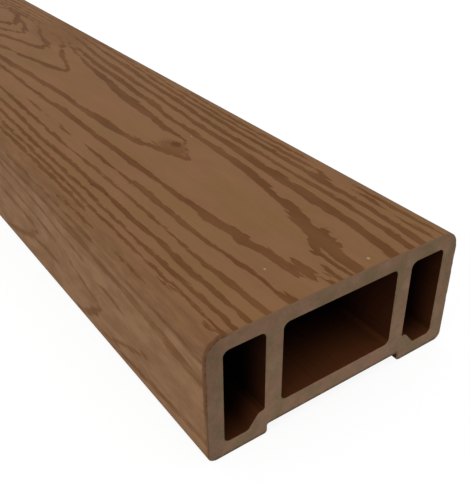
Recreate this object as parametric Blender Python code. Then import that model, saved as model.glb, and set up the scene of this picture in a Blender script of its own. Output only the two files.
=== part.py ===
"""Composite handrail: one hollow wood-plastic extrusion, sawn square at both ends.

The rail lies along X on its two feet, with its width along Y and its height along Z.
Its origin is the middle of the footprint, on the surface that the feet rest on.
The section has a wide centre chamber over a shallow seat channel and a side chamber
over each foot. Sizes are in millimetres until the outlines become a mesh in metres.
"""
import math

import bmesh
import bpy

MM = 0.001

# Outside of the section
RAIL_LENGTH = 1800.0
RAIL_WIDTH = 96.0
RAIL_HEIGHT = 45.0
CROWN_RISE = 0.6
SHOULDER_RADIUS = 6.5
FOOT_RADIUS = 3.0

# Seat channel in the underside, between the feet
CHANNEL_WIDTH = 54.0
CHANNEL_DEPTH = 3.5
CHANNEL_MOUTH_RADIUS = 1.2
CHANNEL_ROOT_RADIUS = 0.6

# Walls between the outside and the chambers
TOP_WALL = 6.0
SIDE_WALL = 5.8
WEB_WALL = 6.0
FOOT_WALL = 5.0
CHANNEL_WALL = 6.5
STEP_WALL = 6.4

# Chambers
CENTRE_CHAMBER_WIDTH = 44.0
CHAMBER_RADIUS = 2.0
STEP_SLOPE_DEGREES = 52.0
STEP_CREST_RADIUS = 2.5
STEP_FOOT_RADIUS = 1.5
LEDGE_RADIUS = 0.8

# Facets
DEGREES_PER_FACET = 10.0
CROWN_FACETS = 24
SMOOTH_BELOW_DEGREES = 30.0

# Wood-plastic composite in walnut brown
COMPOSITE_COLOUR = (0.205, 0.110, 0.053, 1.0)
COMPOSITE_ROUGHNESS = 0.62
COMPOSITE_METALLIC = 0.0


def clear_scene():
    """Remove every object, so that only the rail is in the scene."""
    for scene_object in list(bpy.data.objects):
        bpy.data.objects.remove(scene_object, do_unlink=True)


def turn_at(before, corner, after):
    """Signed angle in radians by which an outline turns at a corner, left being positive."""
    arriving = math.atan2(corner[1] - before[1], corner[0] - before[0])
    leaving = math.atan2(after[1] - corner[1], after[0] - corner[0])
    return (leaving - arriving + math.pi) % (2.0 * math.pi) - math.pi


def rounded_outline(corners):
    """Closed outline through corners (y, z, radius), each one rounded by a tangent arc.

    Where two arcs would meet on a short edge, both shrink until they share it.
    """
    count = len(corners)
    turns = [turn_at(corners[i - 1], corners[i], corners[(i + 1) % count]) for i in range(count)]
    setbacks = [corners[i][2] * math.tan(abs(turns[i]) / 2.0) for i in range(count)]
    edges = [math.dist(corners[i][:2], corners[(i + 1) % count][:2]) for i in range(count)]
    outline = []
    for i in range(count):
        y, z, radius = corners[i]
        if setbacks[i] == 0.0:
            outline.append((y, z))
            continue
        share_before = edges[i - 1] / (setbacks[i - 1] + setbacks[i])
        share_after = edges[i] / (setbacks[i] + setbacks[(i + 1) % count])
        shrink = min(1.0, share_before, share_after)
        outline += corner_arc(corners[i - 1], (y, z), turns[i], radius * shrink)
    return outline


def corner_arc(before, corner, turn, radius):
    """Points of the arc that rounds one corner, from its first tangent point to its last."""
    run = math.dist(before[:2], corner)
    along = ((corner[0] - before[0]) / run, (corner[1] - before[1]) / run)
    setback = radius * math.tan(abs(turn) / 2.0)
    side = math.copysign(1.0, turn)
    centre_y = corner[0] - along[0] * setback - along[1] * radius * side
    centre_z = corner[1] - along[1] * setback + along[0] * radius * side
    start = math.atan2(along[1], along[0]) - side * math.pi / 2.0
    facets = max(2, round(math.degrees(abs(turn)) / DEGREES_PER_FACET))
    angles = [start + turn * step / facets for step in range(facets + 1)]
    return [(centre_y + radius * math.cos(a), centre_z + radius * math.sin(a)) for a in angles]


def crown_arc(half_span, spring_height):
    """Corners of the slightly crowned top, from its right shoulder to its left one."""
    arc_radius = (half_span ** 2 + CROWN_RISE ** 2) / (2.0 * CROWN_RISE)
    centre_z = spring_height + CROWN_RISE - arc_radius
    reach = math.asin(half_span / arc_radius)
    corners = []
    for step in range(1, CROWN_FACETS):
        angle = reach * (1.0 - 2.0 * step / CROWN_FACETS)
        corners.append((arc_radius * math.sin(angle), centre_z + arc_radius * math.cos(angle), 0.0))
    return corners


def outer_outline():
    """Outside of the section: two feet, the seat channel, plain sides and a crowned top."""
    half_width = RAIL_WIDTH / 2.0
    half_channel = CHANNEL_WIDTH / 2.0
    spring_height = RAIL_HEIGHT - CROWN_RISE
    corners = [
        (-half_width, 0.0, FOOT_RADIUS),
        (-half_channel, 0.0, CHANNEL_MOUTH_RADIUS),
        (-half_channel, CHANNEL_DEPTH, CHANNEL_ROOT_RADIUS),
        (half_channel, CHANNEL_DEPTH, CHANNEL_ROOT_RADIUS),
        (half_channel, 0.0, CHANNEL_MOUTH_RADIUS),
        (half_width, 0.0, FOOT_RADIUS),
        (half_width, spring_height, SHOULDER_RADIUS),
    ]
    corners += crown_arc(half_width - SHOULDER_RADIUS, spring_height)
    corners.append((-half_width, spring_height, SHOULDER_RADIUS))
    return rounded_outline(corners)


def centre_chamber_outline():
    """Chamber between the two webs, over the seat channel."""
    half_width = CENTRE_CHAMBER_WIDTH / 2.0
    floor = CHANNEL_DEPTH + CHANNEL_WALL
    ceiling = RAIL_HEIGHT - TOP_WALL
    return rounded_outline([
        (-half_width, floor, CHAMBER_RADIUS),
        (half_width, floor, CHAMBER_RADIUS),
        (half_width, ceiling, CHAMBER_RADIUS),
        (-half_width, ceiling, CHAMBER_RADIUS),
    ])


def side_chamber_outline():
    """Chamber over the foot at +Y, whose floor steps down past the seat channel's corner.

    The sloped step keeps STEP_WALL of material to the corner of the channel.
    """
    inner = CENTRE_CHAMBER_WIDTH / 2.0 + WEB_WALL
    outer = RAIL_WIDTH / 2.0 - SIDE_WALL
    ceiling = RAIL_HEIGHT - TOP_WALL
    ledge = CHANNEL_DEPTH + CHANNEL_WALL
    slope = math.radians(STEP_SLOPE_DEGREES)

    def slope_y(height):
        """Where the sloped step is at a height."""
        rise = height - CHANNEL_DEPTH
        return CHANNEL_WIDTH / 2.0 + (STEP_WALL - rise * math.cos(slope)) / math.sin(slope)

    step_foot = (slope_y(FOOT_WALL), FOOT_WALL, STEP_FOOT_RADIUS)
    if slope_y(ledge) > inner:
        step_crest = (slope_y(ledge), ledge, STEP_CREST_RADIUS)
        inner_corners = [(inner, ledge, LEDGE_RADIUS), step_crest, step_foot]
    elif slope_y(FOOT_WALL) > inner:
        meeting_height = FOOT_WALL + (slope_y(FOOT_WALL) - inner) * math.tan(slope)
        inner_corners = [(inner, meeting_height, LEDGE_RADIUS), step_foot]
    else:
        inner_corners = [(inner, FOOT_WALL, CHAMBER_RADIUS)]
    return rounded_outline(inner_corners + [
        (outer, FOOT_WALL, CHAMBER_RADIUS),
        (outer, ceiling, CHAMBER_RADIUS),
        (inner, ceiling, CHAMBER_RADIUS),
    ])


def mirrored(outline):
    """The same outline on the other side of the rail's middle."""
    return [(-y, z) for y, z in reversed(outline)]


def add_loop(section, outline, x):
    """Draw one closed outline at a place along the rail, and give its edges."""
    ring = [section.verts.new((x * MM, y * MM, z * MM)) for y, z in outline]
    return [section.edges.new((ring[i - 1], ring[i])) for i in range(len(ring))]


def extruded_section(outlines, length):
    """Mesh of a section, the first outline less the others, pushed along X."""
    section = bmesh.new()
    edges = []
    for outline in outlines:
        edges += add_loop(section, outline, -length / 2.0)
    filled = bmesh.ops.triangle_fill(section, use_beauty=True, edges=edges, normal=(-1.0, 0.0, 0.0))
    faces = [item for item in filled["geom"] if isinstance(item, bmesh.types.BMFace)]
    pushed = bmesh.ops.extrude_face_region(section, geom=faces)
    far_end = [item for item in pushed["geom"] if isinstance(item, bmesh.types.BMVert)]
    bmesh.ops.translate(section, verts=far_end, vec=(length * MM, 0.0, 0.0))
    bmesh.ops.recalc_face_normals(section, faces=section.faces)
    mesh = bpy.data.meshes.new("handrail")
    section.to_mesh(mesh)
    section.free()
    return mesh


def composite_material():
    """Walnut brown wood-plastic composite."""
    material = bpy.data.materials.new("composite")
    material.use_nodes = True
    shader = material.node_tree.nodes["Principled BSDF"]
    shader.inputs["Base Color"].default_value = COMPOSITE_COLOUR
    shader.inputs["Roughness"].default_value = COMPOSITE_ROUGHNESS
    shader.inputs["Metallic"].default_value = COMPOSITE_METALLIC
    return material


def build_handrail():
    """The whole rail, one extruded piece."""
    side_chamber = side_chamber_outline()
    outlines = [outer_outline(), centre_chamber_outline(), side_chamber, mirrored(side_chamber)]
    mesh = extruded_section(outlines, RAIL_LENGTH)
    mesh.materials.append(composite_material())
    mesh.shade_smooth()
    mesh.set_sharp_from_angle(angle=math.radians(SMOOTH_BELOW_DEGREES))
    handrail = bpy.data.objects.new("handrail", mesh)
    bpy.context.scene.collection.objects.link(handrail)
    return handrail


clear_scene()
build_handrail()
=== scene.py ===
import math

import bmesh
import bpy
import numpy as np
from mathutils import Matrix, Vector, geometry, noise


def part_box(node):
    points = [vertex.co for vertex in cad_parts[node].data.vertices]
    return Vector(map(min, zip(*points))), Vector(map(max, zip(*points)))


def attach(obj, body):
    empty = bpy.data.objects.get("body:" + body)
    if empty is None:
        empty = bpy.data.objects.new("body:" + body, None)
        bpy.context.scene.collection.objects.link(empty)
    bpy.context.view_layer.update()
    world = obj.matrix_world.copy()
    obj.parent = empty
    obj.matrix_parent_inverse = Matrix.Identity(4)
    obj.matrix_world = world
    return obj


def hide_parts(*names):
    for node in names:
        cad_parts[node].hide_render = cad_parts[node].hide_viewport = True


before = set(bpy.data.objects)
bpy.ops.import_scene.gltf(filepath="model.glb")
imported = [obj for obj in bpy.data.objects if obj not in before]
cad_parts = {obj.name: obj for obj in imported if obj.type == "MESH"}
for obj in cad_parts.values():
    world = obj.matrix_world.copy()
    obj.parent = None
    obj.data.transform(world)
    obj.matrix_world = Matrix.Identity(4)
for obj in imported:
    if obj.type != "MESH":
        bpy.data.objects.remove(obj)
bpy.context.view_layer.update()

# All sizes below are in millimetres until the mesh is written.
# "Along" is the distance from the photographed end, and "across" the distance from the
# middle of the top, unrolled over the shoulders and down the sides, +Y being positive.
MM = 0.001
low_corner, high_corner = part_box("handrail")
END_X = high_corner.x / MM
RAIL_LENGTH = (high_corner.x - low_corner.x) / MM

# Camera, at the photograph's viewing angle
CAMERA_PAST_END = 116.4
CAMERA_ASIDE = -119.51
CAMERA_HEIGHT = 161.97
CAMERA_TURN_DEGREES = (56.839, 0.382, 54.847)
SENSOR = 36.0
LENS = 51.455
CLIP_METRES = (0.01, 30.0)

# Studio, in metres and watts
FLOOR_REACH = 6.0
FLOOR_DROP = 0.0002
FLOOR_PALE = (0.75, 0.75, 0.75, 1.0)
FLOOR_DIM = (0.14, 0.14, 0.14, 1.0)
FLOOR_GLOW = 0.89
WORLD_STRENGTH = 0.88
LAMP_PLACE = (1.4, -2.6, 1.5)
LAMP_TARGET = (0.8, 0.0, 0.0)
LAMP_SIZE = 2.0
LAMP_POWER = 20.0

# Mesh of the embossed skin: zones along the rail as (ends at, station step, column step)
SKIN_ZONES = ((150.0, 1.6, 0.62), (400.0, 2.2, 1.0), (RAIL_LENGTH, 6.0, 1.3))
PLAIN_STATION_STEP = 75.0

# Mesh of the sawn ends, in rows of almost even triangles
EDGE_BREAK = 0.35
END_POINT_STEP = 1.6
END_ROW_STEP = 0.866 * END_POINT_STEP
END_POINT_CLEARANCE = 0.6 * END_POINT_STEP
LEAST_TRIANGLE = 0.00002

# Reading the solid's outlines, and welding
SIDE_TOLERANCE = 0.01
ARC_STEPS = 8
NORMAL_REACH = 0.05
WELD_DISTANCE = 0.002
SMOOTH_BELOW_DEGREES = 42.0

# Embossing: one roller pattern that repeats along the rail
ROLLER_REPEAT = 600.0
BAND_SAMPLE_STEP = 0.5
LEAST_BAND_WIDTH = 0.05
BAND_REACH = 12.0
BAND_BIN = 5.0
TOP_RECESS = 0.2
RECESS_HALF_SLOPE = 0.5
RECESS_FADE = 2.0
SIDE_STRENGTH = 0.68
SIDE_PATTERN_SHIFT = 170.0

# Marks of a place with no band near: (band distance, band strength, shoulder)
PLAIN_MARKS = (BAND_REACH, 0.0, 0.0)

# Distances off the middle where the bands weaken and the shoulders begin and end
STRENGTH_FALLS = (42.5, 51.0)
SHOULDER_STARTS = (42.3, 44.3)
SHOULDER_ENDS = (50.4, 53.0)

# Waves that make the bands uneven, as (size, wavelength along, wavelength across, seed)
NOISE_GAIN = 1.6
WARPS_ALONG = ((1.0, 11.0, 4.0, 31.0), (3.0, 20.0, 0.85, 61.0))
WARPS_ACROSS = ((0.22, 9.0, 3.4, 3.0), (0.2, 4.0, 1.8, 17.0))
SWELLS = ((0.16, 5.0, 1.6, 47.0),)

# Near the knot's tip at (along, across) the bands are thin, so the warps are calmer there
KNOT_TIP = (96.0, 5.0)
KNOT_STRETCH = 2.5
KNOT_CALM = 6.0
KNOT_LEAST_WARP = 0.2

# Grain bands on the top, each one a line of (along, across, width)
STRAIGHT_BANDS = (
    ((0, -41.2, 1), (60, -40.8, 1.2), (80, -40.4, 1.3), (100, -39.8, 1.2), (120, -39.5, 1.3),
     (150, -39.1, 1.4), (170, -38.7, 1.3), (260, -37.8, 1.4), (380, -38.6, 1.3), (500, -40.4, 1.1)),
    ((0, -37.8, 1.7), (10, -37.8, 1.6), (18, -37.9, 1.8), (40, -37.8, 1.7), (60, -37.5, 1.4),
     (80, -37.1, 1.5), (110, -36.5, 1.4), (140, -36.2, 1.4), (170, -35.4, 1.6), (200, -34.6, 1.7),
     (260, -33.8, 1.9), (380, -34.6, 1.8), (500, -36.8, 1.6)),
    ((0, -33.2, 1.6), (10, -33.4, 1.6), (20, -33.4, 2.1), (36, -33.3, 2.2), (42, -32.9, 1.8),
     (70, -32.8, 2.1), (79, -32.2, 1.5), (86, -32.2, 1.1), (91, -32.3, 2.2), (98, -32.3, 1.7),
     (105, -32.1, 2.1), (120, -31.9, 2), (140, -32.2, 1.8), (160, -31.3, 1.8), (200, -30.4, 1.7),
     (260, -29.4, 1.7), (380, -30.2, 1.8), (500, -32.4, 1.9)),
    ((0, -27.2, 2.2), (10, -27.4, 2.2), (17, -27.7, 2.6), (22, -27.8, 1.8), (30, -28.2, 1.6),
     (40, -28, 1.3), (50, -27.6, 1.1), (60, -27.4, 1.1), (75, -27.1, 1.5), (90, -27, 1.2),
     (100, -26.9, 1.5), (111, -26.9, 1.7), (117, -27.1, 0.8), (126, -27.1, 0.8), (134, -27.1, 1.4),
     (150, -26.8, 1.3), (165, -26.6, 1.6), (180, -26, 1.8), (200, -25.5, 1.8), (280, -24.4, 1.8),
     (380, -25.2, 1.6), (500, -26.8, 1.9)),
    ((0, -18.9, 3.4), (3, -18.9, 3.2), (6, -19.4, 1.9), (20, -19.6, 1.9), (25, -20, 1.9),
     (30, -20.3, 1.5), (36, -21.1, 1.4), (42, -21.2, 1.7), (50, -21.3, 2.3), (60, -21.3, 2.1),
     (70, -21, 2.5), (80, -20.7, 2.5), (90, -21.1, 2.1), (97, -21.1, 0.6), (100, -21.2, 0.4),
     (106, -21.4, 1.5), (114, -21.3, 1.6), (122, -21.1, 1), (127, -21.2, 0.2), (137, -22, 0.2),
     (143, -21.8, 1.1), (149, -21.2, 1.2), (153, -20.9, 0.2), (161, -21.2, 0.2), (168, -21.2, 1.1),
     (182, -21, 1.3), (192, -21, 0.4), (290, -19.4, 1.6), (380, -20, 2), (490, -21.4, 1.8),
     (560, -20.2, 2.6)),
    ((0, 19.6, 4), (6, 20.1, 4.2), (10, 20.7, 3.4), (15, 21, 3.4), (20, 22, 3.8), (30, 22.4, 3.6),
     (36, 22.7, 4.2), (40, 22.4, 5), (45, 22.9, 4.6), (55, 22.8, 3.8), (60, 23.2, 4.6),
     (70, 23.3, 3.9), (80, 23.9, 3.7), (90, 24.5, 3.4), (100, 24.7, 3), (110, 25, 2.6),
     (120, 25.2, 2.5), (130, 26.2, 2.2), (140, 26.6, 2.4), (160, 27.8, 2.4), (180, 28.6, 2.8),
     (195, 29.6, 3.2), (220, 31.2, 2.6), (235, 32.9, 2.2), (245, 34.3, 1.8), (262, 36, 1.2),
     (300, 37.4, 1), (360, 36.6, 1.6), (450, 30.6, 2.4), (540, 22.6, 3.2)),
    ((0, 27, 2.6), (8, 27.7, 3), (15, 28.3, 1.9), (22, 28.7, 1.7), (30, 28.9, 2.2), (44, 29.2, 2.4),
     (53, 29.2, 2.2), (60, 29.2, 1.6), (68, 29.2, 1.7), (78, 29.6, 1.9), (90, 29.5, 2.7),
     (100, 29.5, 2.6), (110, 29.8, 2.4), (118, 30.2, 2.3), (132, 31.3, 2.3), (147, 32.6, 2.7),
     (160, 32.9, 2.5), (180, 34, 2.6), (190, 35, 2.8), (215, 36.4, 2.2), (230, 37.6, 1.8),
     (262, 39.8, 1.1), (300, 40.6, 0.9), (380, 39.6, 1.4), (480, 34, 2), (560, 28.4, 2.4)),
    ((0, 31.8, 3), (8, 32.3, 2.8), (15, 33.1, 2.7), (22, 33.4, 2.2), (30, 33.8, 2.5), (42, 34, 2.6),
     (48, 33.7, 3.8), (53, 34, 3.4), (58, 34.2, 2.5), (72, 34.2, 2.5), (80, 34.4, 2.1),
     (95, 34.4, 2), (110, 34.6, 2), (120, 35, 2.1), (140, 35.8, 1.9), (170, 37.3, 1.4),
     (190, 38.6, 1.3), (210, 40.2, 1.2), (260, 42.4, 1), (300, 43.2, 0.9), (420, 41.6, 1),
     (520, 36, 2)),
    ((0, 37, 0.3), (3, 37.1, 1.4), (12, 37.1, 1.3), (16, 37.4, 0.2), (22, 37.8, 0.3),
     (26, 38.1, 1.6), (35, 38.2, 1.5), (40, 38.1, 0.3), (56, 38, 0.3), (62, 37.9, 1.7),
     (80, 37.8, 1.7), (88, 37.8, 1.4), (120, 38, 1.5), (140, 38.8, 1.3), (170, 40.2, 1),
     (200, 41.5, 0.8), (300, 43.8, 0.6), (420, 43, 0.6), (520, 39.6, 0.8)),
    ((0, 40.8, 1.1), (38, 40.9, 1.2), (44, 41, 0.4), (64, 40.9, 0.4), (72, 40.8, 1.1),
     (120, 40.8, 1.1), (150, 42, 0.6), (260, 44.6, 0.5), (440, 43.8, 0.6)),
)

# Nested arches on the top, each one a closed ring: up its left arm and down its right one
ARCHED_BANDS = (
    ((-14, 1, 2), (-6, -2.2, 1.6), (-1, -4.3, 1.8), (2, -5, 1.6), (4, -6, 0.4), (8, -9, 0.6),
     (11, -9.9, 1.8), (14, -10, 3), (18, -9.9, 3.6), (23, -9.9, 4.2), (26, -10.3, 3.4),
     (28, -10.9, 3), (31, -11.7, 3.6), (35, -11.5, 5), (39, -11.4, 4), (45, -12, 4),
     (50, -12.6, 4.2), (55, -12.6, 3.3), (60, -12.8, 2.6), (70, -13.1, 2.3), (80, -13.2, 2),
     (90, -13.2, 2.4), (100, -13.4, 2.6), (130, -13.9, 2.6), (150, -13.8, 2.6), (165, -13.6, 3.2),
     (175, -14.3, 2.2), (215, -14.8, 1.8), (300, -14.4, 2.2), (400, -15.2, 2.2), (500, -11.4, 2.8),
     (550, -6.4, 3), (572, 2, 2.4), (552, 9.4, 2.8), (500, 18.6, 2.6), (430, 27.5, 2.2),
     (350, 33.6, 1.2), (300, 34.4, 0.9), (262, 33, 0.2), (246, 30, 0.2), (236, 28.2, 1.9),
     (220, 26.2, 2.2), (200, 24.4, 2.6), (190, 24.2, 3), (160, 22, 2.9), (150, 21.8, 3.4),
     (140, 20.8, 2.8), (130, 19.1, 1.9), (120, 19.3, 2.4), (112, 18.9, 3), (104, 18.4, 2.5),
     (98, 18.4, 2.8), (93, 18.2, 3.6), (82, 17.7, 3.1), (76, 17.5, 3.5), (70, 17.2, 4.2),
     (64, 16, 3.6), (58, 15, 3.8), (54, 13.7, 2.4), (50, 13.3, 2.4), (47, 13.5, 3.8),
     (41, 12.7, 3.8), (37, 11.5, 6), (33, 10.1, 5.4), (28, 8.9, 5.2), (22, 8.8, 6), (16, 7.2, 5),
     (10, 6.3, 4.4), (2, 6, 4.1), (-6, 4.4, 2.2)),
    ((90, 4.3, 1.2), (95, 3.2, 2.6), (100, 1.9, 3.2), (106, 0.2, 3.6), (112, -1.4, 3.2),
     (116, -3.2, 3), (121, -4, 2.2), (130, -4.8, 3), (140, -5, 4.6), (150, -5.6, 4),
     (160, -6.3, 2.8), (180, -6, 2.8), (200, -7.5, 2.8), (220, -8.2, 3), (235, -9.8, 3.4),
     (250, -9.8, 2.6), (330, -8.8, 2.6), (420, -7.8, 2.6), (484, -3.4, 3.2), (520, 4.6, 2.2),
     (490, 12.4, 2.8), (424, 24.5, 2.4), (350, 31, 1.2), (300, 31.8, 0.9), (262, 31.2, 0.2),
     (250, 28.4, 1.1), (244, 26.6, 1.4), (237, 25.1, 1.6), (225, 23.1, 2), (212, 21.2, 2.5),
     (200, 19.8, 2.8), (190, 18.8, 3.2), (178, 17.2, 3.8), (165, 15.7, 4.6), (150, 14.7, 4.6),
     (143, 13.8, 4), (136, 13.8, 3.4), (130, 13, 3.6), (120, 12.4, 2.8), (114, 12.6, 1.6),
     (108, 12.4, 1.3), (103, 10.2, 1.2), (98, 7.6, 1.1), (93, 5.3, 1.1)),
    ((209, 8, 2.6), (215, 6, 3.4), (222, 4.2, 3.4), (230, 2.6, 2.8), (240, 1, 2.6),
     (248, -0.8, 2.2), (254, -1.8, 0.6), (262, -2.8, 3.6), (272, -3.6, 1.6), (330, -3.8, 2.2),
     (400, -2.6, 2.6), (450, 1.4, 3.2), (480, 8, 2.2), (452, 13.8, 3), (400, 22, 2.2),
     (350, 28.4, 1.2), (300, 29.4, 0.8), (270, 28.2, 0.8), (256, 26.4, 1.4), (250, 23.8, 2),
     (243, 20.4, 2.4), (236, 17.4, 2.6), (228, 15.2, 2.4), (220, 12.6, 2.2), (214, 10.6, 2.2)),
    ((251, 13, 4), (257, 11, 3.6), (264, 9.2, 2.6), (271, 7.8, 2.6), (278, 6, 2.8), (285, 4, 3),
     (300, 1.6, 2.4), (330, 0.4, 2.4), (390, 3.6, 3), (432, 11.4, 2.4), (405, 16.4, 2.6),
     (370, 23, 1.6), (330, 27.8, 0.9), (300, 28, 0.8), (290, 26.6, 1.4), (280, 23.4, 1.8),
     (271, 20.9, 2.2), (262, 19.2, 3), (255, 17.6, 4)),
    ((285, 15.4, 3.4), (289, 11.8, 3), (298, 8.6, 2.2), (330, 5.6, 2.4), (368, 8, 2.4),
     (392, 14, 2.2), (364, 20.4, 1.4), (336, 25, 0.9), (314, 24.4, 0.9), (304, 23, 1.6),
     (296, 21, 2.4), (289, 18.6, 3)),
    ((303, 17.6, 4.4), (309, 14, 3.4), (330, 10.4, 2), (350, 12.2, 2), (362, 15.4, 1.6),
     (352, 19.4, 1.2), (340, 25.6, 1.2), (328, 27.4, 1.8), (318, 24.6, 2.6), (309, 20.8, 4)),
)

# Short streaks: wings of the near arch, branches at the knot, a bridge between two bands
SHORT_BANDS = (
    ((4.5, -7.2, 1.2), (6.5, -6.9, 3.4), (10, -6.6, 3.8), (14, -6.6, 2.6), (16, -7.2, 0.8)),
    ((1, -42.4, 0.8), (3.6, -42.6, 1.6), (6.5, -42.7, 0.8)),
    ((23, -42.8, 0.3), (27, -42.7, 1), (32, -42.8, 0.3)),
    ((0, -1.2, 1.6), (4, -1.4, 1.8), (10, -1, 1), (12, -0.8, 0.4)),
    ((6, -3.2, 0.5), (8, -3, 1.2), (10, -2.8, 0.5)),
    ((2, 2.1, 1.2), (8, 2.1, 1.6), (14, 2.3, 1.2), (16, 2.4, 0.4)),
    ((14, 1.2, 1.2), (16, 2.6, 3.2), (18, 4.4, 4), (21, 6, 3.6), (24, 8, 2)),
    ((20, 9.5, 3.4), (22.5, 11.6, 3.2), (24, 12.8, 1.8)),
    ((14.5, 8.6, 2.6), (16, 10.8, 2.2), (17, 12.4, 1)),
    ((117.5, -2.6, 1.2), (119, -1.6, 1.6), (120, -1, 0.8)),
    ((118, 10, 0.4), (121, 10.8, 1.2), (125, 11.4, 2)),
    ((108, 1.6, 1.2), (114, 0.8, 0.5)),
    ((77, -42.6, 0.3), (82, -42.5, 1.2), (100, -42.1, 1.4), (120, -42, 1.6), (140, -41.8, 1.6),
     (160, -41.4, 1.5), (190, -41, 1.2), (260, -40.6, 0.3)),
    ((49, 35.6, 0.8), (53, 35.6, 2.8), (57, 35.6, 0.8)),
    ((49, 37, 0.8), (53, 37, 2.6), (57, 37, 0.8)),
    ((51.5, 38.3, 0.4), (54, 38.3, 1.4), (57, 38.3, 0.4)),
)

# Softer bands on the sides, each one a line of (along, height above the floor, width)
SIDE_LINES = (
    ((0, 29.4, 2.8), (10, 30.3, 3.4), (20, 32, 4.6), (30, 33.2, 3), (38, 34.4, 3.6), (52, 35, 2.8),
     (70, 36.2, 2.9), (76, 36.8, 3.5), (97, 37.4, 3.2), (106, 38.4, 1.7), (120, 38.3, 1.7),
     (200, 38.6, 2.4), (330, 37, 2.8), (450, 32.6, 3.2), (540, 30, 3.2)),
    ((0, 37.2, 1.6), (8, 37.6, 1.8), (13, 38.3, 1.6), (20, 38.8, 1.2), (36, 39, 0.8),
     (50, 39.6, 0.2), (160, 40.8, 0.2), (180, 41.4, 0.8), (260, 41.6, 1.2), (420, 39.4, 1.4),
     (520, 38, 1.4)),
)
SIDE_ARCHES = (
    ((34, 16.8, 0.8), (37, 15.4, 1.7), (42, 12.8, 2.4), (47, 10.8, 2.2), (52, 8.8, 2.2),
     (58, 6.1, 2), (66, 3.6, 1.8), (80, 0, 1.4), (110, -4, 1)),
    ((46, 23.4, 0.8), (51, 24.2, 2), (58, 25.6, 2), (64, 25, 0.8)),
    ((70, 28.4, 0.6), (80, 30.1, 1.6), (95, 31.1, 1.4), (110, 32.8, 1.7), (130, 34.2, 1.7),
     (150, 35.1, 1.6), (250, 35.6, 2), (360, 33, 2), (460, 27.6, 2.4), (520, 22.6, 2), (550, 18, 1)),
    ((88, 2, 2), (80, 4.6, 2.6), (73, 8.6, 3), (68, 12, 2.8), (66, 14, 2.4), (69, 15.6, 2.4),
     (74, 16.8, 2.6), (80, 19.1, 2.2), (85, 21.2, 1.4), (90, 23, 0.4), (104, 25, 1.2),
     (130, 27, 1.8), (200, 29.4, 2.2), (320, 28.2, 2.4), (410, 21.6, 2.8), (452, 14.6, 2)),
    ((160, 3, 2), (145, 6.6, 2.4), (135, 9.6, 2.6), (128, 12.6, 2.4), (122, 16.6, 2.2),
     (118, 19.1, 1.8), (122, 20.2, 1.7), (130, 20.9, 1.8), (138, 21.2, 1.8), (180, 22.6, 2),
     (270, 22, 2.4), (350, 18.2, 2.4), (388, 13, 1.4)),
    ((182, 11.6, 1.2), (196, 14, 2.6), (240, 16.2, 2.6), (300, 14.4, 2.4), (322, 11.2, 1.2)),
    ((-10, 8.6, 2), (0, 8.4, 2.2), (15, 7.6, 2.4), (30, 6.4, 2.4), (45, 5.2, 2), (60, 3, 1.2)),
    ((450, 2, 1.2), (500, 4.6, 2.6), (560, 8.4, 2.6), (590, 8.6, 2)),
    ((98, 14.1, 0.8), (106, 14.1, 2.4), (118, 13.9, 2.2), (126, 12.8, 1)),
)

# Fine lines on the left shoulder, each one a line of (along, across, width)
SHOULDER_LINES = (
    ((66, -45.4, 0.3), (70, -45.4, 0.8), (84, -45.4, 0.9), (93, -45.6, 0.9), (97, -45.6, 0.3)),
    ((64, -48.4, 0.3), (68, -48.6, 1.3), (80, -48.5, 1.3), (88, -48.3, 0.9), (112, -48.2, 0.8),
     (122, -48.2, 1.2), (138, -48.2, 1.2), (146, -48.2, 0.3)),
    ((34, -46.2, 0.3), (38, -46.2, 0.7), (50, -46.2, 0.7), (55, -46.2, 0.3)),
    ((290, -45.4, 0.3), (330, -45.2, 1.4), (430, -45.6, 1.4), (470, -46, 0.3)),
)

# Pale specks of filler in the skin and small dark pits: (along, across, radius)
PALE_SPECKS = ((17.4, -15.8, 0.5), (4.0, 12.2, 0.65), (108.0, 16.4, 0.4))
DARK_PITS = ((85.2, -32.4, 0.75), (94.9, -33.2, 0.7), (97.1, -33.2, 0.6))

# Soft dark patches, the knot first: ((along, across, radius, stretch), how dark from 0 to 1)
SOFT_PATCHES = (((103.5, 5.2, 5.4, 2.0), 0.82), ((268.0, 32.0, 17.0, 2.2), 0.42))
KNOT_EYE = (105.0, 7.6, 2.7, 1.4)

# Seat channel of the solid
CHANNEL_HALF_WIDTH = 27.0
CHANNEL_DEPTH = 3.5

# Places across over which a finish changes, as (from, to)
LEFT_SIDE = (-38.0, -43.0)
# Across this the left chamber's painted shade begins
LEFT_CHAMBER_SHADE = (-26.0, -27.9)
WEB_SIDES = (22.5, 27.5)
SAWN_LEFT = (-40.0, -45.0)
SAWN_RIGHT = (42.0, 46.0)

# Heights over which a finish changes
CUT_LINE_RISES = (12.0, 22.0)
# Painted light: over these heights the chamber walls grow lighter towards the bottom
CHAMBER_PAINTED_LIGHT_HEIGHTS = (38.0, 8.0)
# Painted bounce light: over these heights the sawn faces grow lighter towards the bottom
SAWN_BOUNCE_HEIGHTS = (44.0, 4.0)
SAWN_RIM_FADES = (1.5, 0.7)
EDGE_SOFTENS = (23.0, 15.0)

# Distances in from a sawn end: of the darker line along the cut, and of the place where the painted
# shade is darkest in the middle chamber and in the side ones
CUT_LINE_DEPTH = (1.8, 1.0)
CHAMBER_SHADE_DARKEST_AT = (28.0, 13.0)

# Texture map layout, as shares of the map
MAP_MARGIN = 0.006
MAP_ROWS_ALONG = 2
MAP_ROW_HEIGHT = 0.372
MAP_PLAIN_HEIGHT = 0.05
MAP_CHAMBER_HEIGHT = 0.03
MAP_END_WIDTH = 0.14


def linear(red, green, blue):
    """Colour for a shader from a screen colour, each channel from 0 to 255."""
    channels = [value / 255.0 for value in (red, green, blue)]
    return (*[c / 12.92 if c <= 0.04045 else ((c + 0.055) / 1.055) ** 2.4 for c in channels], 1.0)


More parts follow.
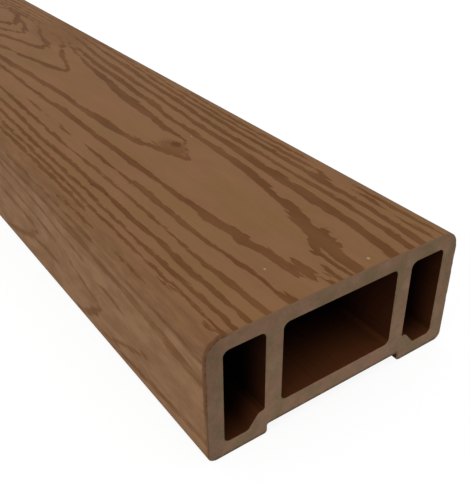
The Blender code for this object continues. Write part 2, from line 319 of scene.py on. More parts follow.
# Colours of the embossed skin
PLANE_LIGHT = linear(131, 94, 61)
PLANE_DARK = linear(124, 88, 56)
PLANE_OLIVE = linear(125, 91, 54)
PLANE_PINK = linear(131, 91, 62)
SIDE_LIGHT = linear(139, 104, 74)
SIDE_DARK = linear(124, 91, 61)
SHOULDER_COLOUR = linear(113, 80, 53)
BAND_LIGHT = linear(109, 71, 38)
BAND_DARK = linear(99, 61, 29)
SHOULDER_BAND = linear(97, 62, 27)
KNOT_DARK = linear(88, 54, 14)
SPECK = linear(186, 158, 124)
PIT_COLOUR = linear(76, 44, 18)
CUT_LINE_DARK = linear(92, 60, 37)

# Colours of the underside, the chambers, the sawn ends and their broken edges
CHANNEL_COLOUR = linear(112, 80, 55)
# Chamber colours: partly the chambers' own darker brown, partly painted light and shade, lighter low
# down and on the floors, darker high up
CHAMBER_LOW_LIT = (0.056, 0.0165, 0.0052, 1.0)
CHAMBER_HIGH_SHADED = (0.024, 0.0066, 0.002, 1.0)
CHAMBER_FLOOR_LIT = (0.086, 0.026, 0.0082, 1.0)
SAWN_LIGHT = linear(136, 110, 87)
SAWN_DARK = linear(103, 82, 59)
SAWN_OLIVE = linear(110, 93, 68)
SAWN_PINK = linear(131, 98, 80)
SAWN_RIM = linear(84, 71, 52)
EDGE_DARK = linear(82, 56, 38)
EDGE_LIGHT = linear(102, 71, 48)
EDGE_SOFT = linear(104, 74, 54)
EDGE_PLAIN = linear(114, 88, 65)

# Shades that a mottled colour is overlaid with
STREAK_DARK = (0.42, 0.42, 0.42, 1.0)
STREAK_LIGHT = (0.58, 0.58, 0.58, 1.0)
BLACK = (0.0, 0.0, 0.0, 1.0)
WHITE = (1.0, 1.0, 1.0, 1.0)


# Lines

def unit(vectors):
    """Rows of an array at a length of 1."""
    return vectors / np.linalg.norm(vectors, axis=1)[:, None]


def run_of(points):
    """Distance of each point from the first one, along the line through them all."""
    return np.concatenate([[0.0], np.cumsum(np.linalg.norm(np.diff(points, axis=0), axis=1))])


def curve(start, stop, leaving, arriving, share):
    """Points at shares of a smooth curve, given its two ends and its slopes at them."""
    cubic = 2 * share ** 3 - 3 * share ** 2
    return (start * (1 + cubic) - stop * cubic
            + leaving * (share ** 3 - 2 * share ** 2 + share)
            + arriving * (share ** 3 - share ** 2))


def ramp(value, low, high):
    """0 below low, 1 above high and smooth between them."""
    share = np.clip((value - low) / (high - low), 0.0, 1.0)
    return share * share * (3.0 - 2.0 * share)


# Outlines of the section

def section_loops(node):
    """Closed outlines (y, z) of the solid at its photographed end, the outside first."""
    mesh = node.data
    end = max(vertex.co.x for vertex in mesh.vertices)
    edges = []
    for polygon in mesh.polygons:
        corners = [mesh.vertices[index].co for index in polygon.vertices]
        if min(corner.x for corner in corners) > end - WELD_DISTANCE * MM:
            keys = [(round(corner.y / MM, 3), round(corner.z / MM, 3)) for corner in corners]
            edges += zip(keys, keys[1:] + keys[:1])
    known = set(edges)
    following = dict(edge for edge in edges if edge[::-1] not in known)
    loops = []
    while following:
        first = next(iter(following))
        loop = [first]
        point = following.pop(first)
        while point != first:
            loop.append(point)
            point = following.pop(point)
        loops.append(np.array(loop))
    return sorted(loops, key=lambda loop: -np.ptp(loop[:, 0]) * np.ptp(loop[:, 1]))


def rounded(points):
    """The open outline through points with its short edges bent into the arcs they stand for."""
    steps = np.diff(points, axis=0)
    lengths = np.linalg.norm(steps, axis=1)[:, None]
    directions = steps / lengths
    weighted = directions * lengths ** 2
    tangents = unit(np.vstack([directions[:1], weighted[:-1] + weighted[1:], directions[-1:]]))
    shares = np.linspace(0.0, 1.0, ARC_STEPS, endpoint=False)[:, None]
    bent = [curve(points[i], points[i + 1], tangents[i] * lengths[i], tangents[i + 1] * lengths[i],
                  shares)
            for i in range(len(steps))]
    return np.vstack(bent + [points[-1:]])


def upper_and_lower(outline):
    """The outside cut where its sides meet the feet: over the top, and round the underside."""
    y, z = outline.T
    start = np.argmin(np.where(y > y.max() - SIDE_TOLERANCE, z, np.inf))
    stop = np.argmin(np.where(y < y.min() + SIDE_TOLERANCE, z, np.inf))
    turned = np.roll(outline, -start, axis=0)
    cut = (stop - start) % len(outline)
    return turned[:cut + 1], np.vstack([turned[cut:], turned[:1]])


class Unrolled:
    """The outline over the top, found by its distance across from the middle."""

    def __init__(self, points):
        self.points = rounded(points)
        run = run_of(self.points)
        self.half = run[-1] / 2.0
        self.run = run - self.half

    def at(self, across):
        """Points (y, z) and outward normals at distances across."""
        point, before, after = [
            np.stack([np.interp(shift - across, self.run, values) for values in self.points.T],
                     axis=1)
            for shift in (0.0, -NORMAL_REACH, NORMAL_REACH)
        ]
        tangent = unit(after - before)
        return point, np.stack([tangent[:, 1], -tangent[:, 0]], axis=1)


# Embossed grain

def smooth_line(points, closed=False):
    """Samples (along, across, width) of a smooth line through given points."""
    given = np.array(points, float)
    if closed:
        padded = np.vstack([given[-1:], given, given[:2]])
    else:
        padded = np.vstack([2 * given[0] - given[1], given, 2 * given[-1] - given[-2]])
    steps = np.diff(padded, axis=0)
    gaps = np.linalg.norm(steps[:, :2], axis=1)
    slopes = steps / gaps[:, None]
    samples = []
    for i in range(1, len(padded) - 2):
        before, gap, after = gaps[i - 1:i + 2]
        leaving = (slopes[i - 1] * gap + slopes[i] * before) * (gap / (gap + before))
        arriving = (slopes[i] * after + slopes[i + 1] * gap) * (gap / (gap + after))
        count = max(2, round(gap / BAND_SAMPLE_STEP))
        share = np.linspace(0.0, 1.0, count, endpoint=False)[:, None]
        samples.append(curve(padded[i], padded[i + 1], leaving, arriving, share))
    return np.vstack(samples)


def endless(points):
    """A line that goes on into the next repeat of the roller."""
    before, after = [tuple((along + turn, across, width) for along, across, width in points)
                     for turn in (-ROLLER_REPEAT, ROLLER_REPEAT)]
    return before[-2:] + points + after[:2]


def band_samples(floor_across):
    """Samples of every grain band on one repeat of the roller, and on a little of the next.

    The sides, unrolled, would meet the floor at a distance across of floor_across.
    """
    def placed(points, side, shift):
        return tuple((along + shift, side * (floor_across - height), width)
                     for along, height, width in points)

    lines = [smooth_line(endless(points)) for points in STRAIGHT_BANDS]
    lines += [smooth_line(points, closed=True) for points in ARCHED_BANDS]
    lines += [smooth_line(points) for points in SHORT_BANDS + SHOULDER_LINES]
    for side, shift in ((-1, 0.0), (1, SIDE_PATTERN_SHIFT)):
        lines += [smooth_line(endless(placed(line, side, shift))) for line in SIDE_LINES]
        lines += [smooth_line(placed(line, side, shift)) for line in SIDE_ARCHES]
    samples = np.vstack(lines)
    samples = np.vstack([samples + (turn * ROLLER_REPEAT, 0.0, 0.0) for turn in (-1, 0, 1)])
    kept = (samples[:, 0] > -2 * BAND_REACH) & (samples[:, 0] < ROLLER_REPEAT + 2 * BAND_REACH)
    return samples[kept & (samples[:, 2] > LEAST_BAND_WIDTH)]


def waves(along, across, table):
    """Sum of a table's waves of smooth noise, which repeat with the roller."""
    turn = 2.0 * math.pi * along / ROLLER_REPEAT
    total = np.zeros(len(along))
    for size, wave_along, wave_across, seed in table:
        radius = ROLLER_REPEAT / (2.0 * math.pi * wave_along)
        found = [noise.noise(Vector((radius * math.cos(t), radius * math.sin(t),
                                     c / wave_across + seed)))
                 for t, c in zip(turn, across)]
        total += size * (NOISE_GAIN * np.array(found))
    return total


def band_distance(along, across, samples):
    """Distance from points to the edge of the nearest grain band, negative inside a band."""
    roller = np.mod(along, ROLLER_REPEAT)
    from_knot = np.hypot((roller - KNOT_TIP[0]) / KNOT_STRETCH, across - KNOT_TIP[1])
    calm = np.clip(from_knot / KNOT_CALM, KNOT_LEAST_WARP, 1.0)
    x = roller + calm * waves(roller, across, WARPS_ALONG)
    y = across + calm * waves(roller, across, WARPS_ACROSS)
    distance = np.full(len(x), BAND_REACH)
    bins = np.floor(x / BAND_BIN).astype(int)
    for number in np.unique(bins):
        here = np.nonzero(bins == number)[0]
        from_bin = np.abs(samples[:, 0] - (number + 0.5) * BAND_BIN) - BAND_BIN / 2.0
        near = samples[from_bin < BAND_REACH]
        if len(near):
            gaps = np.hypot(x[here, None] - near[:, 0], y[here, None] - near[:, 1])
            distance[here] = np.min(gaps - near[:, 2] / 2.0, axis=1)
    return distance + waves(roller, across, SWELLS)


def band_strength(across):
    """How deep and dark the bands are: all on the top, less down the sides."""
    return 1.0 - (1.0 - SIDE_STRENGTH) * ramp(np.abs(across), *STRENGTH_FALLS)


def shoulder(across):
    """How much a place belongs to the rounded shoulders, which are a shade darker."""
    reach = np.abs(across)
    return ramp(reach, *SHOULDER_STARTS) * (1.0 - ramp(reach, *SHOULDER_ENDS))


# Mesh

def link_to_scene(name, data, place=(0.0, 0.0, 0.0)):
    """A new object in the scene at a place in metres."""
    holder = bpy.data.objects.new(name, data)
    holder.location = place
    bpy.context.scene.collection.objects.link(holder)
    return holder


class Shell:
    """Vertices, faces and texture coordinates gathered patch by patch, then welded."""

    def __init__(self):
        self.points = []
        self.maps = []
        self.marks = []
        self.faces = []
        self.finishes = []

    def add_points(self, points, maps, marks=None):
        """Add points with their marks, and give their numbers."""
        start = len(self.points)
        self.points += [tuple(point) for point in points]
        self.maps += [tuple(place) for place in maps]
        self.marks += [PLAIN_MARKS] * len(points) if marks is None else list(marks)
        return np.arange(start, len(self.points))

    def add_face(self, corners, finish):
        self.faces.append(tuple(int(corner) for corner in corners))
        self.finishes.append(finish)

    def add_strip(self, first, first_places, second, second_places, finish, flip=False):
        """Fill between two rows of points. Rows with the same places get quads."""
        turn = -1 if flip else 1
        if len(first) == len(second) and np.allclose(first_places, second_places, atol=1e-4):
            for i in range(len(first) - 1):
                quad = (first[i], first[i + 1], second[i + 1], second[i])
                self.add_face(quad[::turn], finish)
            return
        i = j = 0
        while i < len(first) - 1 or j < len(second) - 1:
            next_first = first_places[i + 1] if i < len(first) - 1 else math.inf
            next_second = second_places[j + 1] if j < len(second) - 1 else math.inf
            if next_first <= next_second:
                corners = (first[i], first[i + 1], second[j])
                i += 1
            else:
                corners = (first[i], second[j + 1], second[j])
                j += 1
            self.add_face(corners[::turn], finish)


def stations():
    """Distances along of the skin's rows, each with the step between its columns."""
    rows = []
    start = EDGE_BREAK
    for end, step, column_step in SKIN_ZONES:
        stop = min(end, RAIL_LENGTH - EDGE_BREAK)
        count = max(1, round((stop - start) / step))
        rows += [(start + (stop - start) * i / count, column_step) for i in range(count)]
        start = stop
    rows.append((start, column_step))
    return rows


def build_skin(shell, unrolled, samples):
    """Embossed top, shoulders and sides.

    Gives the distances along of its rows, its first and last row as (points, marks), and
    the marks of its two lower edges, +Y first.
    """
    half = unrolled.half
    alongs, column_steps = np.array(stations()).T
    columns = [half - np.linspace(0.0, 2 * half, round(2 * half / step) + 1)
               for step in column_steps]
    every_along = np.repeat(alongs, [len(across) for across in columns])
    every_across = np.concatenate(columns)
    distance = band_distance(every_along, every_across, samples)
    strength = band_strength(every_across)
    marks = np.column_stack([distance, strength, shoulder(every_across)])
    recess = TOP_RECESS * strength * (1.0 - ramp(distance, -RECESS_HALF_SLOPE, RECESS_HALF_SLOPE))
    recess *= ramp(half - np.abs(every_across), 0.0, RECESS_FADE)
    point, normal = unrolled.at(every_across)
    points = np.column_stack([END_X - every_along, point - normal * recess[:, None]])

    row_length = RAIL_LENGTH / MAP_ROWS_ALONG
    cut = np.argmin(np.abs(alongs - row_length))
    spans = []
    last = None
    for row, across in enumerate(columns):
        start = spans[-1].stop if spans else 0
        spans.append(slice(start, start + len(across)))
        for map_row, used in enumerate((row <= cut, row >= cut)):
            if not used:
                continue
            u = np.full(len(across), alongs[row] - map_row * alongs[cut]) / row_length
            v = (across + half) / (2 * half)
            maps = np.column_stack([MAP_MARGIN + (1 - 2 * MAP_MARGIN) * u,
                                    MAP_MARGIN + MAP_ROW_HEIGHT * v
                                    + map_row * (MAP_ROW_HEIGHT + MAP_MARGIN)])
            numbers = shell.add_points(points[spans[-1]], maps, marks[spans[-1]])
            if last is not None and last[0] == map_row:
                shell.add_strip(last[1], last[2], numbers, -across, "skin")
            last = (map_row, numbers, -across)
    ends = [(points[spans[i]], marks[spans[i]]) for i in (0, -1)]
    edges = [marks[[span.start for span in spans]], marks[[span.stop - 1 for span in spans]]]
    return alongs, ends, edges


def build_plain_wall(shell, outline, finish, map_low, map_height, edge_alongs=None,
                     edge_marks=(None, None)):
    """Wall drawn by the die along an outline (y, z), seen from the outline's right.

    The first and the last line of it may have rows and marks of their own, to meet the skin.
    """
    count = round(RAIL_LENGTH / PLAIN_STATION_STEP)
    coarse = np.linspace(EDGE_BREAK, RAIL_LENGTH - EDGE_BREAK, count + 1)
    run = run_of(outline)
    marks_of_line = {0: edge_marks[0], len(outline) - 1: edge_marks[1]}
    columns = []
    for i, (y, z) in enumerate(outline):
        alongs = coarse if edge_alongs is None or i not in marks_of_line else edge_alongs
        even = np.ones(len(alongs))
        points = np.column_stack([END_X - alongs, y * even, z * even])
        maps = np.column_stack([MAP_MARGIN + (1 - 2 * MAP_MARGIN) * alongs / RAIL_LENGTH,
                                (map_low + map_height * run[i] / run[-1]) * even])
        columns.append((shell.add_points(points, maps, marks_of_line.get(i)), alongs))
    for first, second in zip(columns, columns[1:]):
        shell.add_strip(*first, *second, finish, flip=True)


def inset(loop, distance):
    """A closed loop moved to its left by a distance, which is into the material."""
    tangent = unit(unit(loop - np.roll(loop, 1, axis=0)) + unit(np.roll(loop, -1, axis=0) - loop))
    return loop + np.stack([-tangent[:, 1], tangent[:, 0]], axis=1) * distance


def inside(points, loop):
    """Which points lie inside a closed loop."""
    found = np.zeros(len(points), bool)
    for start, stop in zip(loop, np.roll(loop, -1, axis=0)):
        crosses = (start[1] > points[:, 1]) != (stop[1] > points[:, 1])
        rise = stop[1] - start[1]
        at = start[0] + (points[:, 1] - start[1]) * (stop[0] - start[0]) / (rise if rise else 1.0)
        found ^= crosses & (points[:, 0] < at)
    return found


def in_material(points, outside, *chambers):
    """Which points lie inside the outside loop and in none of the chambers."""
    found = inside(points, outside)
    for chamber in chambers:
        found &= ~inside(points, chamber)
    return found


def build_end(shell, loops, outside_marks, x, outward, map_corner):
    """Sawn end: its edges lightly broken, then one flat face with the chambers open in it."""
    insets = [inset(loop, EDGE_BREAK) for loop in loops]
    low, high = loops[0].min(axis=0), loops[0].max(axis=0)
    scale = MAP_END_WIDTH / (high[0] - low[0])

    def add(points, place, marks=None):
        """Points of the section at a place along the rail."""
        maps = (points - low) * scale + np.array(map_corner)
        placed = np.column_stack([np.full(len(points), place), points])
        return shell.add_points(placed, maps, marks)

    for number, (loop, moved) in enumerate(zip(loops, insets)):
        marks, finish = (outside_marks, "cut_edge") if number == 0 else (None, "sawn")
        edge = add(loop, x - outward * EDGE_BREAK, marks)
        face = add(moved, x)
        places = np.arange(len(loop) + 1)
        shell.add_strip(np.append(edge, edge[0]), places, np.append(face, face[0]), places,
                        finish, flip=outward < 0)
    shifts = (0.0, END_POINT_STEP / 2)
    grid = np.array([(y, z) for row, z in enumerate(np.arange(low[1], high[1], END_ROW_STEP))
                     for y in np.arange(low[0] + shifts[row % 2], high[0], END_POINT_STEP)])
    clear = [inset(loop, END_POINT_CLEARANCE) for loop in loops]
    flat = np.vstack(insets + [grid[in_material(grid, *clear)]])
    edges = []
    for moved in insets:
        start, count = len(edges), len(moved)
        edges += [(start + i, start + (i + 1) % count) for i in range(count)]
    points, _, triangles, *_ = geometry.delaunay_2d_cdt(
        [Vector(point) for point in flat], edges, [], 0, 1e-7)
    points = np.array([tuple(point) for point in points])
    numbers = add(points, x)
    for triangle in triangles:
        first, second, third = points[list(triangle)]
        (a, b), (c, d) = second - first, third - first
        centre = np.mean([first, second, third], axis=0)[None, :]
        if abs(a * d - b * c) >= LEAST_TRIANGLE and in_material(centre, *insets)[0]:
            shell.add_face([numbers[i] for i in triangle][::outward], "sawn")


def build_rail(materials):
    """The whole rail as one welded mesh around the CAD outlines."""
    outer, *chambers = section_loops(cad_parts["handrail"])
    upper, lower = upper_and_lower(outer)
    unrolled = Unrolled(upper)
    samples = band_samples(unrolled.half + upper[0, 1])
    shell = Shell()
    alongs, ends, edges = build_skin(shell, unrolled, samples)
    map_low = 2 * MAP_ROW_HEIGHT + 3 * MAP_MARGIN
    build_plain_wall(shell, lower, "drawn", map_low, MAP_PLAIN_HEIGHT, edge_alongs=alongs,
                     edge_marks=(edges[1], edges[0]))
    map_low += MAP_PLAIN_HEIGHT + MAP_MARGIN
    for chamber in chambers:
        closed = np.vstack([chamber, chamber[:1]])
        build_plain_wall(shell, closed, "chamber", map_low, MAP_CHAMBER_HEIGHT)
        map_low += MAP_CHAMBER_HEIGHT + MAP_MARGIN
    for column, (row, row_marks) in enumerate(ends):
        outward = 1 - 2 * column
        outside = np.vstack([row[:, 1:], lower[1:-1]])
        marks = np.vstack([row_marks, [PLAIN_MARKS] * (len(lower) - 2)])
        corner = (MAP_MARGIN + column * (MAP_END_WIDTH + MAP_MARGIN), map_low)
        build_end(shell, [outside, *chambers], marks, outward * END_X, outward, corner)
    return welded(shell, materials)


def welded(shell, materials):
    """One mesh object from the shell's patches, their shared edges joined."""
    mesh = bpy.data.meshes.new("handrail_extrusion")
    mesh.from_pydata([Vector(point) * MM for point in shell.points], [], shell.faces)
    places = mesh.uv_layers.new(name="OFBake")
    corners = np.zeros(len(mesh.loops), int)
    mesh.loops.foreach_get("vertex_index", corners)
    places.data.foreach_set("uv", np.array(shell.maps)[corners].ravel())
    marks = np.array(shell.marks, np.float32)
    for column, name in enumerate(("band_distance", "band_strength", "shoulder")):
        attribute = mesh.attributes.new(name, "FLOAT", "POINT")
        attribute.data.foreach_set("value", np.ascontiguousarray(marks[:, column]))
    for material in materials.values():
        mesh.materials.append(material)
    finishes = list(materials)
    mesh.polygons.foreach_set("material_index", [finishes.index(f) for f in shell.finishes])
    work = bmesh.new()
    work.from_mesh(mesh)
    bmesh.ops.remove_doubles(work, verts=work.verts, dist=WELD_DISTANCE * MM)
    bmesh.ops.recalc_face_normals(work, faces=work.faces)
    work.to_mesh(mesh)
    work.free()
    mesh.shade_smooth()
    mesh.set_sharp_from_angle(angle=math.radians(SMOOTH_BELOW_DEGREES))
    return link_to_scene("handrail_extrusion", mesh)


# Materials

class Nodes:
    """Short ways to add and link the nodes of one tree."""

    def __init__(self, tree):
        self.tree = tree

    def put(self, socket, value):
        if isinstance(value, bpy.types.NodeSocket):
            self.tree.links.new(value, socket)
        else:
            socket.default_value = value

    def add(self, kind, *values, **named):
        """A new node, with values for its first inputs and for others by their names."""
        node = self.tree.nodes.new(kind)
        for socket, value in zip(node.inputs, values):
            self.put(socket, value)
        for name, value in named.items():
            self.put(node.inputs[name], value)
        return node

    def show_to_camera(self, hidden, seen, surface):
        """Give a surface one shader for the light and another for the camera."""
        path = self.add("ShaderNodeLightPath")
        chosen = self.add("ShaderNodeMixShader", path.outputs["Is Camera Ray"],
                          hidden.outputs[0], seen.outputs[0])
        self.put(surface, chosen.outputs[0])


class Finish(Nodes):
    """Short ways to build one of the rail's materials."""

    def __init__(self, name):
        self.material = bpy.data.materials.new(name)
        self.material.use_nodes = True
        super().__init__(self.material.node_tree)
        self.shader = self.tree.nodes["Principled BSDF"]
        self.coordinates = self.add("ShaderNodeTexCoord").outputs["Object"]

    def math(self, operation, first, second=0.0, clamp=False):
        node = self.add("ShaderNodeMath", first, second)
        node.operation = operation
        node.use_clamp = clamp
        return node.outputs[0]

    def times(self, *factors):
        product = factors[0]
        for factor in factors[1:]:
            product = self.math("MULTIPLY", product, factor)
        return product

    def span(self, value, low, high, to_low=0.0, to_high=1.0, smooth=True):
        node = self.add("ShaderNodeMapRange", value, low, high, to_low, to_high)
        node.interpolation_type = "SMOOTHSTEP" if smooth else "LINEAR"
        return node.outputs[0]

    def noise(self, along_mm, across_mm, detail=2.0, roughness=0.5, seed=0.0):
        """Noise from 0 to 1 whose patches measure about so many millimetres."""
        scale = (1 / (along_mm * MM), 1 / (across_mm * MM), 1 / (across_mm * MM))
        mapping = self.add("ShaderNodeMapping", self.coordinates, (seed, seed, seed), Scale=scale)
        node = self.add("ShaderNodeTexNoise", mapping.outputs[0], Scale=1.0, Detail=detail,
                        Roughness=roughness)
        return node.outputs[0]

    def mix(self, factor, first, second, blend="MIX"):
        node = self.add("ShaderNodeMix", factor)
        node.data_type = "RGBA"
        node.blend_type = blend
        self.put(node.inputs[6], first)
        self.put(node.inputs[7], second)
        return node.outputs[2]

    def swing(self, pattern, size):
        """A pattern of noise as a value that swings about 0."""
        return self.times(self.math("SUBTRACT", pattern, 0.5), size)

    def mottled(self, colour, pattern, amount):
        """A colour made darker and lighter by a pattern of noise."""
        shade = self.mix(self.span(pattern, 0.3, 0.7), STREAK_DARK, STREAK_LIGHT)
        return self.mix(amount, colour, shade, "OVERLAY")

    def spot(self, along, across, radius, stretch=1.0):
        """An uneven spot on the top, 1 inside and 0 outside, stretched along the rail."""
        flat = self.add("ShaderNodeVectorMath", self.coordinates, (1 / (stretch * MM), 1 / MM, 0.0))
        flat.operation = "MULTIPLY"
        centre = ((END_X - along) / stretch, across, 0.0)
        gap = self.add("ShaderNodeVectorMath", flat.outputs[0], centre)
        gap.operation = "DISTANCE"
        uneven = self.swing(self.noise(0.9, 0.9, 1.0, seed=41.0), radius)
        return self.span(self.math("ADD", gap.outputs["Value"], uneven), radius, 0.5 * radius)

    def spots(self, places):
        """Several uneven spots as one pattern."""
        shown = self.spot(*places[0])
        for place in places[1:]:
            shown = self.math("MAXIMUM", shown, self.spot(*place))
        return shown

    def attribute(self, name):
        node = self.add("ShaderNodeAttribute")
        node.attribute_name = name
        return node.outputs["Fac"]

    def upward(self):
        """How far a face looks up, from -1 to 1."""
        facing = self.add("ShaderNodeNewGeometry").outputs["Normal"]
        return self.add("ShaderNodeSeparateXYZ", facing).outputs["Z"]

    def place_mm(self, axis):
        """Place in millimetres along one axis of the rail."""
        split = self.add("ShaderNodeSeparateXYZ", self.coordinates)
        return self.math("DIVIDE", split.outputs[axis], MM)

    def depth_mm(self):
        """Distance in from the nearer sawn end, in millimetres."""
        return self.math("SUBTRACT", END_X, self.math("ABSOLUTE", self.place_mm("X")))

    def off_middle_mm(self):
        """Distance from the middle of the width, in millimetres."""
        return self.math("ABSOLUTE", self.place_mm("Y"))

    def shaded(self, colour, amount):
        """A colour made darker by an amount from 1, which leaves it, down to 0."""
        return self.mix(self.math("SUBTRACT", 1.0, amount), colour, BLACK)

    def finish(self, colour, roughness, height, relief_mm, specular=0.12):
        """The material, with a bump of a pattern's height on it."""
        bump = self.add("ShaderNodeBump", Strength=1.0, Distance=relief_mm * MM, Height=height)
        self.put(self.shader.inputs["Base Color"], colour)
        self.put(self.shader.inputs["Roughness"], roughness)
        self.put(self.shader.inputs["Normal"], bump.outputs["Normal"])
        self.shader.inputs["Specular IOR Level"].default_value = specular
        return self.material


def embossed_skin():
    """Walnut brown composite with darker grain pressed into it."""
    n = Finish("embossed_composite")
    strength = n.attribute("band_strength")
    on_side = n.span(strength, 1.0, SIDE_STRENGTH, smooth=False)
    on_shoulder = n.attribute("shoulder")
    blotch = n.span(n.noise(26.0, 7.0, 3.0, 0.55, seed=5.0), 0.3, 0.7)
    streak = n.noise(22.0, 0.45, 3.0, 0.65, seed=9.0)
    fine = n.noise(1.4, 0.6, 3.0, 0.7, seed=13.0)

    tint = n.span(n.noise(22.0, 7.0, seed=51.0), 0.36, 0.64)
    plane = n.mix(blotch, PLANE_DARK, PLANE_LIGHT)
    plane = n.mix(0.5, plane, n.mix(tint, PLANE_OLIVE, PLANE_PINK))
    side_blotch = n.span(n.noise(12.0, 5.0, 3.0, 0.6, seed=15.0), 0.32, 0.68)
    plane = n.mix(on_side, plane, n.mix(side_blotch, SIDE_DARK, SIDE_LIGHT))
    patches = n.span(n.noise(16.0, 2.2, 2.0, 0.6, seed=35.0), 0.35, 0.65, 0.3, 1.0)
    plane = n.mix(n.times(on_shoulder, patches), plane, SHOULDER_COLOUR)

    teeth = n.swing(n.noise(6.0, 0.5, 2.0, 0.6), 1.3)
    lobes = n.swing(n.noise(2.6, 1.1, 2.0, 0.6, seed=27.0), 1.0)
    distance = n.math("ADD", n.attribute("band_distance"), n.math("ADD", teeth, lobes))
    softness = n.span(on_side, 0.7, 1.0, 0.22, 0.5, smooth=False)
    band = n.span(n.math("DIVIDE", distance, softness), 1.0, -1.0)
    worn = n.span(n.noise(11.0, 2.4, seed=33.0), 0.36, 0.56, 0.6, 1.1)
    worn = n.span(on_side, 0.0, 1.0, 1.0, worn, smooth=False)
    filled = n.times(band, strength, worn)
    for place, share in SOFT_PATCHES:
        filled = n.math("MAXIMUM", filled, n.times(n.spot(*place), share))
    dark = n.mix(on_shoulder, n.mix(blotch, BAND_DARK, BAND_LIGHT), SHOULDER_BAND)
    colour = n.mix(filled, plane, dark)
    colour = n.mix(n.times(n.spot(*KNOT_EYE), 0.85), colour, KNOT_DARK)

    colour = n.mottled(n.mottled(colour, streak, 0.22), fine, 0.14)
    colour = n.mix(n.times(n.spots(PALE_SPECKS), 0.6), colour, SPECK)
    colour = n.mix(n.times(n.spots(DARK_PITS), 0.8), colour, PIT_COLOUR)
    # A darker line along the left side and shoulder, close to the sawn end
    wavy = n.math("ADD", n.depth_mm(), n.swing(n.noise(3.0, 3.0, 2.0, 0.6, seed=71.0), 1.6))
    high_up = n.span(n.place_mm("Z"), *CUT_LINE_RISES, 0.25, 0.85)
    cut_line = n.times(n.span(wavy, *CUT_LINE_DEPTH), n.span(n.place_mm("Y"), *LEFT_SIDE), high_up)
    colour = n.mix(cut_line, colour, CUT_LINE_DARK)
    height = n.math("ADD", n.times(fine, 0.6), n.times(streak, 0.5))
    return n.finish(colour, 0.75, height, 0.05)


def drawn_skin():
    """Plain underside with the fine lines that the die leaves, and painted shadow low on the walls of
    the seat channel's steps.
    """
    n = Finish("die_drawn_composite")
    lines = n.noise(400.0, 0.35, 2.0, 0.6, seed=2.0)
    blotch = n.noise(40.0, 8.0, 3.0, 0.55, seed=7.0)
    colour = n.mix(n.span(blotch, 0.3, 0.7), SIDE_DARK, SIDE_LIGHT)
    in_channel = n.span(n.off_middle_mm(), CHANNEL_HALF_WIDTH + 1.5, CHANNEL_HALF_WIDTH)
    colour = n.mix(in_channel, colour, CHANNEL_COLOUR)
    # Painted shadow: the walls of the channel's steps darker low down, near the floor
    step_shadow = n.span(n.place_mm("Z"), CHANNEL_DEPTH - 0.2, CHANNEL_DEPTH - 1.1)
    colour = n.shaded(colour, n.span(n.times(in_channel, step_shadow), 0.0, 1.0, 1.0, 0.3))
    return n.finish(n.mottled(colour, lines, 0.3), 0.75, lines, 0.04)


def chamber_skin():
    """Walls of the chambers: their own darker, duller brown, with painted light and shade on it,
    lighter low down and on the floors, darker deeper in and in the left chamber.
    """
    n = Finish("chamber_composite")
    lines = n.noise(400.0, 0.6, 2.0, 0.6, seed=4.0)
    blotch = n.noise(30.0, 9.0, 3.0, 0.55, seed=8.0)
    # Painted light: the walls lighter lower down, and the floors lighter than the walls
    low = n.span(n.place_mm("Z"), *CHAMBER_PAINTED_LIGHT_HEIGHTS, smooth=False)
    low = n.math("ADD", low, n.swing(blotch, 0.8), clamp=True)
    wall = n.mix(low, CHAMBER_HIGH_SHADED, CHAMBER_LOW_LIT)
    colour = n.mix(n.span(n.upward(), 0.2, 0.8), wall, CHAMBER_FLOOR_LIT)
    # Painted shade: darker deeper in from the sawn end, soonest in the narrow side chambers
    reach = n.span(n.off_middle_mm(), *WEB_SIDES, *CHAMBER_SHADE_DARKEST_AT)
    colour = n.shaded(colour, n.span(n.math("DIVIDE", n.depth_mm(), reach), 0.0, 1.0, 1.0, 0.08))
    # Painted shade: the left chamber darker than the others
    colour = n.shaded(colour, n.span(n.place_mm("Y"), *LEFT_CHAMBER_SHADE, 1.0, 0.78))
    return n.finish(n.mottled(colour, lines, 0.5), 0.9, lines, 0.05, specular=0.04)


def sawn_composite():
    """Matt, greyer sawn face, finely mottled by the wood flour in it, with painted bounce light that
    makes it lighter towards the bottom.
    """
    n = Finish("sawn_composite")
    flour = n.noise(1.1, 1.1, 3.0, 0.65, seed=3.0)
    cloud = n.swing(n.noise(6.0, 6.0, seed=6.0), 2.3)
    # Painted bounce light from the floor: lighter towards the bottom
    low = n.span(n.place_mm("Z"), *SAWN_BOUNCE_HEIGHTS, smooth=False)
    colour = n.mix(n.math("ADD", low, cloud, clamp=True), SAWN_DARK, SAWN_LIGHT)
    tint = n.span(n.noise(7.0, 7.0, seed=16.0), 0.38, 0.62)
    colour = n.mix(0.55, colour, n.mix(tint, SAWN_OLIVE, SAWN_PINK))
    colour = n.shaded(colour, n.span(n.place_mm("Y"), *SAWN_LEFT, 1.0, 0.8))
    colour = n.shaded(colour, n.span(n.place_mm("Y"), *SAWN_RIGHT, 1.0, 0.94))
    colour = n.mottled(colour, flour, 0.4)
    over_channel = n.span(n.off_middle_mm(), CHANNEL_HALF_WIDTH + 0.6, CHANNEL_HALF_WIDTH - 0.4)
    from_below = n.math("SUBTRACT", n.place_mm("Z"), n.times(over_channel, CHANNEL_DEPTH))
    uneven = n.swing(n.noise(2.4, 2.4, 2.0, 0.6, seed=19.0), 1.6)
    rim = n.span(n.math("ADD", from_below, uneven), *SAWN_RIM_FADES)
    colour = n.mix(n.times(rim, 0.75), colour, SAWN_RIM)
    fibre = n.span(n.noise(0.6, 0.6, 0.0, seed=12.0), 0.78, 0.84)
    colour = n.mix(n.times(fibre, 0.2), colour, SPECK)
    return n.finish(colour, 0.85, flour, 0.08)


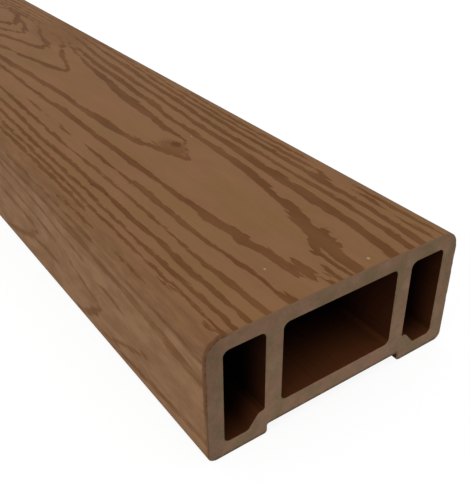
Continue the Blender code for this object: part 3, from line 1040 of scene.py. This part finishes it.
def cut_edge():
    """Broken edge round a sawn end: plain, but unevenly darker down the left side, less so low down.
    """
    n = Finish("cut_edge_composite")
    chips = n.noise(1.3, 1.3, 2.0, 0.6, seed=23.0)
    colour = n.mix(n.span(chips, 0.4, 0.62), EDGE_DARK, EDGE_LIGHT)
    colour = n.mix(n.span(n.place_mm("Z"), *EDGE_SOFTENS, 0.0, 0.8), colour, EDGE_SOFT)
    colour = n.mix(n.span(n.place_mm("Y"), *LEFT_SIDE), EDGE_PLAIN, colour)
    return n.finish(colour, 0.85, chips, 0.05)


# Stage

def build_camera():
    """Camera where the photograph was taken from, near the sawn end and above it."""
    camera = bpy.data.cameras.new("camera")
    camera.sensor_width = SENSOR
    camera.lens = LENS
    camera.clip_start, camera.clip_end = CLIP_METRES
    place = ((END_X + CAMERA_PAST_END) * MM, CAMERA_ASIDE * MM, CAMERA_HEIGHT * MM)
    holder = link_to_scene("camera", camera, place)
    holder.rotation_euler = [math.radians(turn) for turn in CAMERA_TURN_DEGREES]
    bpy.context.scene.camera = holder


def build_floor():
    """Wide pale floor, which the camera sees as white with a faint shadow on it."""
    mesh = bpy.data.meshes.new("floor")
    corners = [(x * FLOOR_REACH, y * FLOOR_REACH, 0) for x, y in ((-1, -1), (1, -1), (1, 1), (-1, 1))]
    mesh.from_pydata(corners, [], [(0, 1, 2, 3)])
    material = bpy.data.materials.new("floor")
    material.use_nodes = True
    material.node_tree.nodes.clear()
    n = Nodes(material.node_tree)
    output = n.add("ShaderNodeOutputMaterial")
    pale = n.add("ShaderNodeBsdfDiffuse", FLOOR_PALE)
    dim = n.add("ShaderNodeBsdfDiffuse", FLOOR_DIM)
    glow = n.add("ShaderNodeEmission", Strength=FLOOR_GLOW)
    seen = n.add("ShaderNodeAddShader", dim.outputs[0], glow.outputs[0])
    n.show_to_camera(pale, seen, output.inputs["Surface"])
    mesh.materials.append(material)
    floor = link_to_scene("floor", mesh, (0.0, 0.0, -FLOOR_DROP))


def build_world():
    """Even soft light, and a white background for the camera."""
    world = bpy.data.worlds.new("studio")
    bpy.context.scene.world = world
    world.use_nodes = True
    n = Nodes(world.node_tree)
    light = n.tree.nodes["Background"]
    light.inputs["Color"].default_value = WHITE
    light.inputs["Strength"].default_value = WORLD_STRENGTH
    white = n.add("ShaderNodeBackground", WHITE, 1.0)
    n.show_to_camera(light, white, n.tree.nodes["World Output"].inputs["Surface"])


def build_lamp():
    """Large soft lamp to the left of the sawn end, aimed at the rail."""
    lamp = bpy.data.lights.new("key", "AREA")
    lamp.shape = "SQUARE"
    lamp.size = LAMP_SIZE
    lamp.energy = LAMP_POWER
    holder = link_to_scene("key", lamp, LAMP_PLACE)
    holder.rotation_mode = "QUATERNION"
    aim = Vector(LAMP_TARGET) - Vector(LAMP_PLACE)
    holder.rotation_quaternion = aim.to_track_quat("-Z", "Y")


bpy.context.scene.view_settings.view_transform = "Standard"
build_camera()
build_world()
build_floor()
build_lamp()

rail = build_rail({
    "skin": embossed_skin(),
    "drawn": drawn_skin(),
    "chamber": chamber_skin(),
    "sawn": sawn_composite(),
    "cut_edge": cut_edge(),
})
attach(rail, "root")
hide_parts("handrail")
